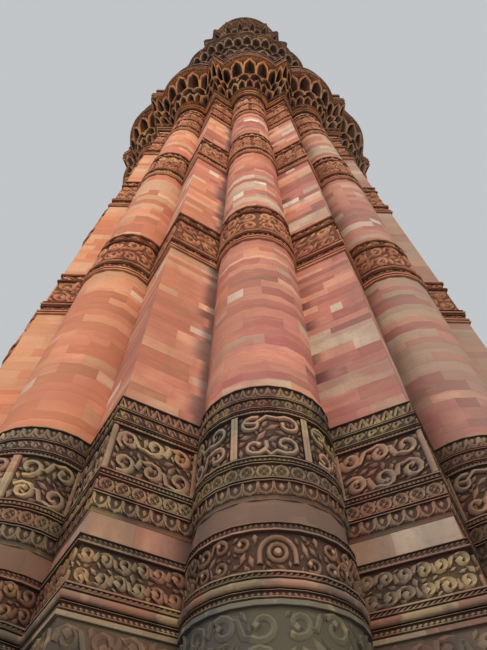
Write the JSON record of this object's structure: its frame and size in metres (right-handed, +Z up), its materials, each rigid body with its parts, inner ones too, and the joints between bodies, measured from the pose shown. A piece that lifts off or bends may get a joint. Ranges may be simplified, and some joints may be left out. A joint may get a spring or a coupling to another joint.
{
  "type": "1:10 scale model of a fluted stone minaret",
  "caption": "Tall tapering stone tower at 1:10: fluted storeys with carved bands, corbelled lobed balconies, hollow shaft, arched entrance.",
  "frame": {"origin": "centre of the plinth's underside, on the tower's axis at ground level", "axes": "+Z up along the tower's axis, -Y towards the front that the picture shows, +Y towards the entrance"},
  "size_m": [1.62, 1.62, 7.25],
  "materials": {
    "dressed_sandstone": "dressed red and buff sandstone ashlar, matt",
    "carved_sandstone": "carved and weathered red sandstone, matt",
    "cornice_sandstone": "carved sandstone corbels, dark with weather",
    "white_marble": "honed white marble, aged to cream",
    "plinth_stone": "rough grey quartzite"
  },
  "bodies": {
    "root": {"storey_1_wall_front": "dressed_sandstone", "storey_1_wall_left": "dressed_sandstone", "storey_1_wall_right": "dressed_sandstone", "storey_1_wall_beside_door_left": "dressed_sandstone", "storey_1_wall_beside_door_right": "dressed_sandstone", "storey_1_wall_over_door": "dressed_sandstone", "storey_2_wall": "dressed_sandstone", "storey_3_wall": "dressed_sandstone", "base_course": "dressed_sandstone", "roof_cap_stump": "dressed_sandstone", "balcony_1_parapet": "dressed_sandstone", "balcony_2_parapet": "dressed_sandstone", "balcony_3_parapet": "dressed_sandstone", "balcony_4_parapet": "dressed_sandstone", "balcony_5_parapet": "dressed_sandstone", "storey_1_band_1": "carved_sandstone", "storey_1_band_2": "carved_sandstone", "storey_1_band_3": "carved_sandstone", "storey_1_band_4": "carved_sandstone", "storey_1_band_5": "carved_sandstone", "storey_1_band_6": "carved_sandstone", "storey_2_band_1": "carved_sandstone", "storey_2_band_2": "carved_sandstone", "storey_3_band_1": "carved_sandstone", "storey_3_band_2": "carved_sandstone", "storey_4_band_1": "carved_sandstone", "storey_4_band_2": "carved_sandstone", "storey_5_band_1": "carved_sandstone", "balcony_1_corbels_lower": "cornice_sandstone", "balcony_1_corbels_upper": "cornice_sandstone", "balcony_2_corbels_lower": "cornice_sandstone", "balcony_2_corbels_upper": "cornice_sandstone", "balcony_3_corbels_lower": "cornice_sandstone", "balcony_3_corbels_upper": "cornice_sandstone", "balcony_4_corbels_upper": "cornice_sandstone", "balcony_5_corbels_upper": "cornice_sandstone", "balcony_1_floor": "cornice_sandstone", "balcony_2_floor": "cornice_sandstone", "balcony_3_floor": "cornice_sandstone", "balcony_4_floor": "cornice_sandstone", "balcony_5_floor": "cornice_sandstone", "storey_4_wall": "white_marble", "storey_5_wall": "white_marble", "plinth": "plinth_stone"}
  },
  "joints": []
}
